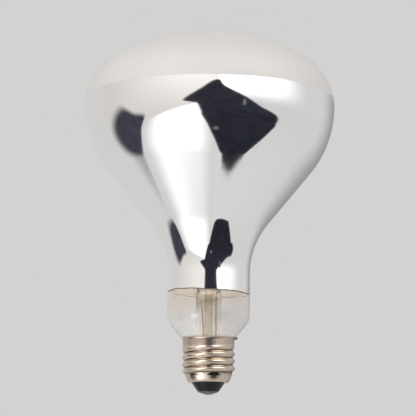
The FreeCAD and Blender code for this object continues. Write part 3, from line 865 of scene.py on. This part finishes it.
def nickel_plate(colour, cap):
    """Thin nickel on rolled brass: warm and bright, with fine rolling lines round the shell, duller above
    and below the thread, with painted shade in its roots, dark brown, and a faint brown cast on the skirt."""
    root_depth, root_shade, skirt_brown, end_dullness = 0.25 * MM, 0.85, 0.2, 0.17
    made, tree, surface = start_material("nickel_plated_brass", {"Metallic": 1.0})
    plate, polish = add_grain(
        tree, surface, 0.35 * MM, (darker(colour, 0.86), colour), (0.045, 0.09), 0.006 * MM,
        stretch=(14, 14, 1))
    thread_foot = cap.floor_height + cap.foot_height
    thread_head = thread_foot + cap.thread_length
    half_thread = cap.thread_length / 2
    place = add_node(tree, "ShaderNodeTexCoord")
    part = add_node(tree, "ShaderNodeSeparateXYZ", links={"Vector": place.outputs["Object"]})
    across = add_node(
        tree, "ShaderNodeCombineXYZ", links={"X": part.outputs["X"], "Y": part.outputs["Y"]})
    radius = add_node(
        tree, "ShaderNodeVectorMath", operation="LENGTH", links={"Vector": across.outputs["Vector"]})
    # Painted shade: the thread's roots are darkened towards brown, fading in over 2 mm above the thread's
    # foot.
    root = add_node(
        tree, "ShaderNodeMapRange", interpolation_type="SMOOTHSTEP",
        values={"From Min": cap.minor_radius + root_depth, "From Max": cap.minor_radius},
        links={"Value": radius.outputs["Value"]})
    above = add_node(
        tree, "ShaderNodeMapRange", interpolation_type="SMOOTHSTEP",
        values={"From Min": thread_foot, "From Max": thread_foot + 2 * MM, "To Max": root_shade},
        links={"Value": part.outputs["Z"]})
    painted_root_shade = add_node(
        tree, "ShaderNodeMath", operation="MULTIPLY",
        links={0: root.outputs["Result"], 1: above.outputs["Result"]})
    skirt = add_node(
        tree, "ShaderNodeMapRange",
        values={"From Min": thread_head, "From Max": thread_head + MM, "To Max": skirt_brown},
        links={"Value": part.outputs["Z"]})
    brown = add_node(
        tree, "ShaderNodeMath", operation="MAXIMUM",
        links={0: painted_root_shade.outputs["Value"], 1: skirt.outputs["Result"]})
    # Mixes in the painted root shade and the faint brown on the skirt.
    shaded_and_browned = add_node(
        tree, "ShaderNodeMix", data_type="RGBA", values={7: srgb("#4A3B2E")},
        links={0: brown.outputs["Value"], 6: plate})
    from_middle = add_node(
        tree, "ShaderNodeMath", operation="SUBTRACT", values={1: thread_foot + half_thread},
        links={0: part.outputs["Z"]})
    away = add_node(tree, "ShaderNodeMath", operation="ABSOLUTE", links={0: from_middle.outputs["Value"]})
    ends = add_node(
        tree, "ShaderNodeMapRange",
        values={
            "From Min": half_thread - 0.5 * MM, "From Max": half_thread + 0.5 * MM, "To Max": end_dullness},
        links={"Value": away.outputs["Value"]})
    dulled = add_node(
        tree, "ShaderNodeMath", operation="ADD", links={0: polish, 1: ends.outputs["Result"]})
    tree.links.new(shaded_and_browned.outputs[2], surface.inputs["Base Color"])
    tree.links.new(dulled.outputs["Value"], surface.inputs["Roughness"])
    return made


def black_glass(colour):
    """Pressed black glass: deep black with a soft gloss and faint press marks."""
    made, tree, surface = start_material("pressed_black_glass", {"IOR": 1.52, "Specular IOR Level": 0.3})
    add_grain(tree, surface, 1.6 * MM, (colour, darker(colour, 1.6)), (0.16, 0.3), 0.02 * MM)
    return made


def contact_brass():
    """Stamped brass, dulled and browned by the soldering flux."""
    made, tree, surface = start_material("fluxed_brass", {"Metallic": 1.0})
    add_grain(tree, surface, 1.2 * MM, (srgb("#5E534C"), srgb("#887A70")), (0.3, 0.5), 0.02 * MM)
    return made


def soft_solder():
    """Tin and lead solder set from a drop: grey, half dull, a little lumpy."""
    made, tree, surface = start_material("tin_lead_solder", {"Metallic": 1.0})
    add_grain(tree, surface, 0.7 * MM, (srgb("#8B827B"), srgb("#B4ABA4")), (0.28, 0.5), 0.04 * MM)
    return made


def basing_cement():
    """Baked cement of marble flour and resin: matt, tan and sandy."""
    made, tree, surface = start_material("basing_cement", {})
    add_grain(tree, surface, 0.5 * MM, (srgb("#A08C70"), srgb("#C9B79A")), (0.8, 0.95), 0.08 * MM)
    return made


def thread_radius(cap, height, turn):
    """The shell's outer radius in the thread, at a height and an angle round the axis."""
    low = cap.floor_height + cap.foot_height
    high = low + cap.thread_length
    run_in = smooth_step((height - low) / cap.run_in)
    run_out = smooth_step((high - height) / cap.run_out)
    mean = (cap.major_radius + cap.minor_radius) / 2
    depth = (cap.major_radius - cap.minor_radius) / 2
    base = cap.foot_radius + (mean - cap.foot_radius) * run_in + (cap.skirt_radius - mean) * (1 - run_out)
    wave = math.cos(2 * math.pi * (height - cap.crest_height) / cap.pitch - turn)
    return base + depth * run_in * run_out * wave


def shell_rows(cap, detail):
    """Rows of the shell from the hole in its floor to its rim: height, radius and lean from upright.
    A row without a radius is in the thread."""
    low = cap.floor_height + cap.foot_height
    high = low + cap.thread_length
    rim_foot = high + cap.skirt_length
    corner = cap.mouth_radius + cap.floor_width
    cone = cap.foot_radius - corner
    cone_steps, thread_steps, skirt_steps, rim_steps = (count * detail for count in (4, 26, 3, 3))
    rows = []
    for step in range(detail + 1):
        rows.append((cap.floor_height, cap.mouth_radius + cap.floor_width * step / detail, math.pi / 2))
    for step in range(1, cone_steps):
        share = step / cone_steps
        slope = cone / cap.foot_height * cap.cone_fullness * share ** (cap.cone_fullness - 1)
        radius = corner + cone * share ** cap.cone_fullness
        rows.append((cap.floor_height + cap.foot_height * share, radius, math.atan(slope)))
    for step in range(thread_steps + 1):
        rows.append((low + cap.thread_length * step / thread_steps, None, 0.0))
    for step in range(1, skirt_steps):
        rows.append((high + cap.skirt_length * step / skirt_steps, cap.skirt_radius, 0.0))
    for step in range(rim_steps + 1):
        share = step / rim_steps
        flare = cap.skirt_radius + (cap.rim_radius - cap.skirt_radius) * share ** cap.rim_flare
        rows.append((rim_foot + cap.rim_height * share, flare, 0.0))
    return rows


def shell_rings(cap, inset, detail):
    """Rings of the shell's outer face, or of its inner face where inset is the sheet's thickness."""
    rings = []
    for height, radius, lean in shell_rows(cap, detail):
        ring = []
        for turn in turns(cap.segments):
            reach = thread_radius(cap, height, turn) if radius is None else radius
            reach -= inset * math.cos(lean)
            ring.append((reach * math.cos(turn), reach * math.sin(turn), height + inset * math.sin(lean)))
        rings.append(ring)
    return rings


def build_shell(cap, finish):
    """The rolled sheet shell with its thread, skirt and flared rim."""
    rings = shell_rings(cap, 0.0, 4)[::-1] + shell_rings(cap, cap.sheet, 2)
    return ring_mesh("rolled_shell", rings, [finish], joined=True)


def build_insulator(cap, finish):
    """The black glass plug, pressed with rounded edges."""
    neck = cap.mouth_radius - CLEARANCE
    seat = cap.floor_height + cap.sheet
    ledge = cap.mouth_radius + cap.floor_width / 2
    top = seat + cap.insulator_plug
    corners = [
        (cap.eyelet_radius + cap.insulator_flare, top),
        (ledge + cap.insulator_flare, top),
        (ledge, seat),
        (neck, seat),
        (neck, cap.floor_height),
        (cap.insulator_foot, cap.contact_depth),
        (cap.eyelet_radius, cap.contact_depth),
        (cap.eyelet_radius, top - cap.insulator_flare),
    ]
    rings = turned(rounded(corners, 0.35 * MM), 128)
    return ring_mesh("insulator_plug", rings, [finish], joined=True)


def build_contact(cap, finish):
    """The dished brass disc with its eyelet."""
    bore = cap.eyelet_radius - cap.contact_sheet
    top = cap.contact_depth
    corners = [
        (cap.eyelet_radius, top + cap.eyelet_length),
        (cap.eyelet_radius, top),
        (cap.contact_radius, top),
        (cap.contact_radius, top - cap.contact_sheet),
        (cap.solder_radius, cap.solder_rise),
        (bore, cap.solder_rise),
        (bore, top + cap.eyelet_length),
    ]
    rings = turned(rounded(corners, 0.12 * MM), 96)
    return ring_mesh("contact_disc", rings, [finish], joined=True)


def build_solder(cap, finish):
    """The dot of solder on the contact, set a little lumpy."""
    size = (cap.solder_radius ** 2 + cap.solder_rise ** 2) / (2 * cap.solder_rise)
    bore = cap.eyelet_radius - cap.contact_sheet - CLEARANCE
    lump_height, lump_size = 0.06 * MM, 1.3 * MM
    plug = cap.contact_depth + cap.eyelet_length / 2
    edge = math.asin(cap.solder_radius / size)
    dome = arc(0, size, size, edge - math.pi / 2, -math.pi / 2, 10)
    rings = turned(joined_section([(0.0, plug), (bore, plug), (bore, cap.solder_rise)], dome), 64)
    lumpy = []
    for ring in rings:
        lumps = []
        for x, y, z in ring:
            lift = lump_height * (1 + noise.noise(Vector((x, y, z)) / lump_size))
            lumps.append((x, y, z + (lift if z < cap.solder_rise else 0.0)))
        lumpy.append(lumps)
    return ring_mesh("contact_dot", lumpy, [finish])


class HEATLAMP_OT_cap(bpy.types.Operator):
    """Build the rolled shell, the black glass, the contact and its solder"""

    bl_idname = "heatlamp.cap"
    bl_label = "Screw cap"

    def execute(self, context):
        cap = context.scene.heatlamp_cap
        colours = context.scene.heatlamp_finish
        solder = soft_solder()
        dress(build_shell(cap, nickel_plate(colours.nickel, cap)), "nickel_plated_brass", "cap_shell")
        dress(build_insulator(cap, black_glass(colours.black_glass)), "black_glass", "cap_insulator")
        dress(build_contact(cap, contact_brass()), "contact_brass", "contact_plate")
        dress(build_solder(cap, solder), "solder", "contact_solder")
        paint(solder, "side_solder")
        paint(basing_cement(), "basing_cement")
        return {"FINISHED"}


# Stage

def toward(azimuth, elevation, distance):
    """A point of the stage seen from the lamp's belly, angles in degrees.
    Azimuth 0 is the camera's side and 90 the right-hand side."""
    turn, rise = math.radians(azimuth), math.radians(elevation)
    belly = Vector((0, 0, 0.1))
    way = Vector((math.sin(turn) * math.cos(rise), -math.cos(turn) * math.cos(rise), math.sin(rise)))
    return belly + way * distance


def hang(name, mesh, finish, lights=True):
    """Hangs a sheet on the stage, where reflections show it and, if it lights, the lamp gets its light."""
    mesh.materials.append(finish)
    made = bpy.data.objects.new(name, mesh)
    made.visible_camera = False
    made.visible_transmission = False
    made.visible_diffuse = lights
    made.visible_shadow = lights
    bpy.context.scene.collection.objects.link(made)


def smooth_loop(points, steps=6):
    """A closed smooth curve through points."""
    places = [Vector((*place, 0)) for place in points]
    curve = []
    for index, here in enumerate(places):
        before = places[index - 1]
        after = places[(index + 1) % len(places)]
        beyond = places[(index + 2) % len(places)]
        curve += interpolate_bezier(
            here, here + (after - before) / 6, after - (beyond - here) / 6, after, steps + 1)[:-1]
    return curve


def flag(name, outline, distance, finish, middle=None, spread=1.0):
    """A cloth cut to a smooth outline of directions, its mesh's U running from its middle to its edge.
    A middle nearer to one side makes that side's edge sharper, and spread makes up for a soft edge."""
    places = [toward(place.x, place.y, distance) for place in smooth_loop(outline)]
    count = len(places)
    centre = toward(*middle, distance) if middle else sum(places, Vector()) / count
    places = [centre.lerp(place, spread) for place in places]
    mesh = bpy.data.meshes.new(name)
    mesh.from_pydata([*places, centre], [], [(index, (index + 1) % count, count) for index in range(count)])
    layer = mesh.uv_layers.new(name="sheet")
    for loop in mesh.loops:
        layer.data[loop.index].uv = (0 if loop.vertex_index == count else 1, 0)
    hang(name, mesh, finish, lights=False)


def panel(name, corners, distance, finish, lights=True):
    """A curved sheet between four directions, given in turn round its edge."""
    steps = 12
    points = []
    for row in range(steps + 1):
        left = Vector(corners[0]).lerp(Vector(corners[3]), row / steps)
        right = Vector(corners[1]).lerp(Vector(corners[2]), row / steps)
        points += [toward(*left.lerp(right, column / steps), distance) for column in range(steps + 1)]
    faces = []
    for row in range(steps):
        for column in range(steps):
            first = row * (steps + 1) + column
            faces.append((first, first + 1, first + steps + 2, first + steps + 1))
    mesh = bpy.data.meshes.new(name)
    mesh.from_pydata(points, [], faces)
    layer = mesh.uv_layers.new(name="sheet")
    for loop in mesh.loops:
        row, column = divmod(loop.vertex_index, steps + 1)
        layer.data[loop.index].uv = (column / steps, row / steps)
    hang(name, mesh, finish, lights)


def soft_box(name, colour, level, edge_level, margins):
    """A lit cloth panel: even in the middle, with its light falling to an edge level over its margins.
    Margins are shares of the panel at its first, second, near and far edges."""
    made = bpy.data.materials.new(name)
    made.use_nodes = True
    tree = made.node_tree
    tree.nodes.clear()
    place = add_node(tree, "ShaderNodeTexCoord")
    across = add_node(tree, "ShaderNodeSeparateXYZ", links={"Vector": place.outputs["UV"]})
    left, right, near, far = margins
    product = None
    for socket, start, full in (("X", 0, left), ("X", 1, 1 - right), ("Y", 0, near), ("Y", 1, 1 - far)):
        if start == full:
            continue
        fade = add_node(
            tree, "ShaderNodeMapRange", interpolation_type="SMOOTHSTEP",
            values={"From Min": start, "From Max": full}, links={"Value": across.outputs[socket]})
        if product is None:
            product = fade.outputs["Result"]
        else:
            product = add_node(
                tree, "ShaderNodeMath", operation="MULTIPLY",
                links={0: product, 1: fade.outputs["Result"]}).outputs["Value"]
    strength = add_node(
        tree, "ShaderNodeMapRange", values={"To Min": edge_level, "To Max": level},
        links={"Value": product})
    light = add_node(
        tree, "ShaderNodeEmission", values={"Color": srgb(colour)},
        links={"Strength": strength.outputs["Result"]})
    add_node(tree, "ShaderNodeOutputMaterial", links={"Surface": light.outputs["Emission"]})
    return made


def lit_panel(name, corners, distance, levels, margins, colour="#FFFFFF", lights=True):
    """A panel of lit cloth, with the levels of its middle and its edge."""
    panel(name, corners, distance, soft_box(name, colour, *levels, margins), lights)


def dark_cloth(name, codes, border):
    """Dark studio cloth with a blue cast, out of focus: it fades to nothing over its border."""
    made, tree, surface = start_material(name, {"Specular IOR Level": 0.1})
    add_grain(tree, surface, 90 * MM, [srgb(code) for code in codes], (0.9, 1.0), 0.0)
    place = add_node(tree, "ShaderNodeTexCoord")
    across = add_node(tree, "ShaderNodeSeparateXYZ", links={"Vector": place.outputs["UV"]})
    fade = add_node(
        tree, "ShaderNodeMapRange", interpolation_type="SMOOTHSTEP", values={"From Min": 1 - border},
        links={"Value": across.outputs["X"]})
    clear = add_node(tree, "ShaderNodeBsdfTransparent")
    mixed = add_node(tree, "ShaderNodeMixShader", links={
        0: fade.outputs["Result"], 1: surface.outputs["BSDF"], 2: clear.outputs["BSDF"]})
    tree.links.new(mixed.outputs["Shader"], tree.nodes["Material Output"].inputs["Surface"])
    return made


def pale_floor(colour):
    """A matt white floor, which the even light turns to the backdrop's grey."""
    made, tree, surface = start_material("pale_floor", {"Specular IOR Level": 0.1})
    add_grain(tree, surface, 120 * MM, (darker(colour, 0.99), colour), (0.9, 1.0), 0.0)
    return made


def set_camera(stage):
    """The camera, at the photograph's angle."""
    lens = bpy.data.cameras.new("camera")
    lens.lens = stage.lens
    lens.sensor_width = SENSOR_WIDTH
    camera = bpy.data.objects.new("camera", lens)
    camera.location = (stage.sideways, -stage.distance, stage.height)
    aim = Vector((stage.sideways, 0, stage.aim))
    look = (aim - camera.location).to_track_quat("-Z", "Y")
    camera.rotation_euler = (look @ Quaternion((0, 0, 1), stage.roll)).to_euler()
    bpy.context.scene.collection.objects.link(camera)
    bpy.context.scene.camera = camera


def set_world(stage):
    """An even grey all round, which is the background and the fill light."""
    world = bpy.data.worlds.new("backdrop")
    world.use_nodes = True
    world.node_tree.nodes["Background"].inputs["Color"].default_value = stage.backdrop
    bpy.context.scene.world = world


def build_floor(stage):
    """A wide pale floor well below the lamp."""
    half = 40.0
    mesh = bpy.data.meshes.new("floor")
    corners = [(x * half, y * half, -stage.floor_depth) for x, y in ((-1, -1), (1, -1), (1, 1), (-1, 1))]
    mesh.from_pydata(corners, [], [(0, 1, 2, 3)])
    mesh.materials.append(pale_floor(stage.floor))
    floor = bpy.data.objects.new("floor", mesh)
    bpy.context.scene.collection.objects.link(floor)


def fill_bulb(stage):
    """The daylight that the frosted dome gathers inside the bulb, as one small soft light."""
    lamp = bpy.data.lights.new("inside_fill", "POINT")
    lamp.energy = stage.fill_power
    lamp.shadow_soft_size = 20 * MM
    fill = bpy.data.objects.new("inside_fill", lamp)
    fill.location = (0, 0, stage.fill_height)
    fill.visible_camera = False
    fill.visible_glossy = False
    fill.visible_transmission = False
    bpy.context.scene.collection.objects.link(fill)


class HEATLAMP_OT_stage(bpy.types.Operator):
    """Set the camera, the backdrop, the floor, the soft boxes and the dark flags"""

    bl_idname = "heatlamp.stage"
    bl_label = "Stage"

    def execute(self, context):
        stage = context.scene.heatlamp_stage
        set_camera(stage)
        set_world(stage)
        build_floor(stage)
        near, far = stage.card_distance, stage.card_distance * 1.06
        before_far, behind_far = far * 0.99, far * 1.01
        soft_edge = 1.03
        # The front cloths show as the dark diamond on the belly and again, smaller, in the neck.
        # The high one shows in the cap alone, and the side cloth is the dark patch on the left.
        front_cloth = dark_cloth("front_cloth", ("#24252F", "#32343F"), 0.09)
        flag("front_flag", (
            (7, 17), (13, 9.5), (34, -1.5), (48, -8.5), (66.5, -14), (66, -23), (56, -27), (20, -32),
            (0, -28), (-4, -24), (-8.2, -16.5), (-13, -7), (-24, -5), (-9, 6)),
            near, front_cloth, spread=soft_edge)
        flag("high_flag", ((-6, 36), (14, 36), (24, 48), (14, 68), (-6, 68), (-14, 48)), near, front_cloth)
        flag("low_front_flag", (
            (62.3, -15), (60.2, -22), (57, -31), (54, -40), (52.4, -46), (51, -52.2), (46.2, -54.5),
            (39.6, -56.8), (36.5, -57.6), (33.6, -58.2), (29, -58.5), (24.4, -58.6), (20, -58.2),
            (14.3, -54.8), (9.3, -47.7), (2, -33.5), (-3.2, -21.8), (-7, -11), (10, -13), (30, -14),
            (50, -14)), stage.near_flag_distance, front_cloth, spread=soft_edge)
        flag("side_flag", (
            (-89, 3), (-72, -7), (-60, -12), (-68, -22), (-84, -38), (-103, -45.7), (-113.5, -32),
            (-109, -9)), near, dark_cloth("side_cloth", ("#3C3E4A", "#4A4C5A"), 0.35), middle=(-76, -23))
        # Two dim panels before the front cloths show as faint glints in the diamond.
        glint = soft_box("glint", "#DCE8F2", 0.3, 0.025, (0.5, 0.5, 0.5, 0.5))
        panel("high_glint", ((28, -10), (33, -9), (32, 1), (28, 0)), near * 0.6, glint, lights=False)
        panel("low_glint", ((2, -26), (9.5, -25.5), (9.5, -20.5), (2, -21)), near * 0.2, glint,
              lights=False)
        # The core box is the white column, and panels more than 30 degrees up show in the cap alone.
        lit_panel("low_box", ((4, -3), (-64, -19), (-126, -78), (10, -80)), far,
                  (1.24, 0.66), (0.25, 0.38, 0.05, 0.46))
        lit_panel("core_box", ((-24, -13), (-50, -21), (-74, -53), (-30, -53)), before_far,
                  (4.5, 1.06), (0.2, 0.25, 0.15, 0.5), lights=False)
        lit_panel("side_box", ((6, -8), (6, 26), (100, 26), (100, -4)), far,
                  (1.5, 0.645), (0.55, 0.0, 0.02, 0.55))
        lit_panel("high_box", ((20, 32), (105, 32), (105, 62), (20, 62)), before_far,
                  (3.4, 0.8), (0.15, 0.4, 0.1, 0.2), lights=False)
        lit_panel("high_core", ((-66, 31), (-16, 31), (-16, 64), (-66, 64)), before_far,
                  (4.0, 1.0), (0.3, 0.3, 0.1, 0.2), lights=False)
        lit_panel("glow_box", ((-112, -34), (6, -30), (6, 28), (-112, 28)), behind_far,
                  (1.0, 0.645), (0.9, 0.0, 0.95, 0.0), colour="#FFFCF8")
        lit_panel("front_box", ((-120, 29), (20, 29), (20, 66), (-120, 66)), far,
                  (1.3, 0.8), (0.15, 0.3, 0.1, 0.1))
        lit_panel("back_wall", ((118, -42), (178, -42), (178, 25), (118, 25)), far,
                  (0.32, 0.645), (0.7, 0.05, 0.2, 0.2))
        fill_bulb(stage)
        return {"FINISHED"}


class HEATLAMP_PT_panel(bpy.types.Panel):
    """Lists the lamp's builders and sizes"""

    bl_idname = "HEATLAMP_PT_panel"
    bl_label = "Heat lamp"
    bl_space_type = "VIEW_3D"
    bl_region_type = "UI"
    bl_category = "Heat lamp"

    def draw(self, context):
        layout = self.layout
        for operator in OPERATORS:
            layout.operator(operator.bl_idname)
        for name, group in SETTINGS.items():
            box = layout.box()
            box.label(text=group.__doc__)
            for setting in group.__annotations__:
                box.prop(getattr(context.scene, name), setting)


OPERATORS = (
    HEATLAMP_OT_bulb,
    HEATLAMP_OT_stem,
    HEATLAMP_OT_filament,
    HEATLAMP_OT_leads,
    HEATLAMP_OT_cap,
    HEATLAMP_OT_stage,
)

SETTINGS = {
    "heatlamp_glass": HeatLampGlass,
    "heatlamp_stem": HeatLampStem,
    "heatlamp_cap": HeatLampCap,
    "heatlamp_finish": HeatLampFinish,
    "heatlamp_stage": HeatLampStage,
}


def register():
    """Registers the settings, the builders and the panel."""
    for group in (*SETTINGS.values(), *OPERATORS, HEATLAMP_PT_panel):
        bpy.utils.register_class(group)
    for name, group in SETTINGS.items():
        setattr(bpy.types.Scene, name, PointerProperty(type=group))


def unregister():
    """Takes the settings, the builders and the panel out again."""
    for name in SETTINGS:
        delattr(bpy.types.Scene, name)
    for group in (HEATLAMP_PT_panel, *OPERATORS[::-1], *SETTINGS.values()):
        bpy.utils.unregister_class(group)


def main():
    """Builds the lamp and its stage."""
    register()
    bpy.context.scene.view_settings.view_transform = "Standard"
    bpy.ops.heatlamp.bulb()
    bpy.ops.heatlamp.stem()
    bpy.ops.heatlamp.filament()
    bpy.ops.heatlamp.leads()
    bpy.ops.heatlamp.cap()
    bpy.ops.heatlamp.stage()


if __name__ == "__main__":
    main()
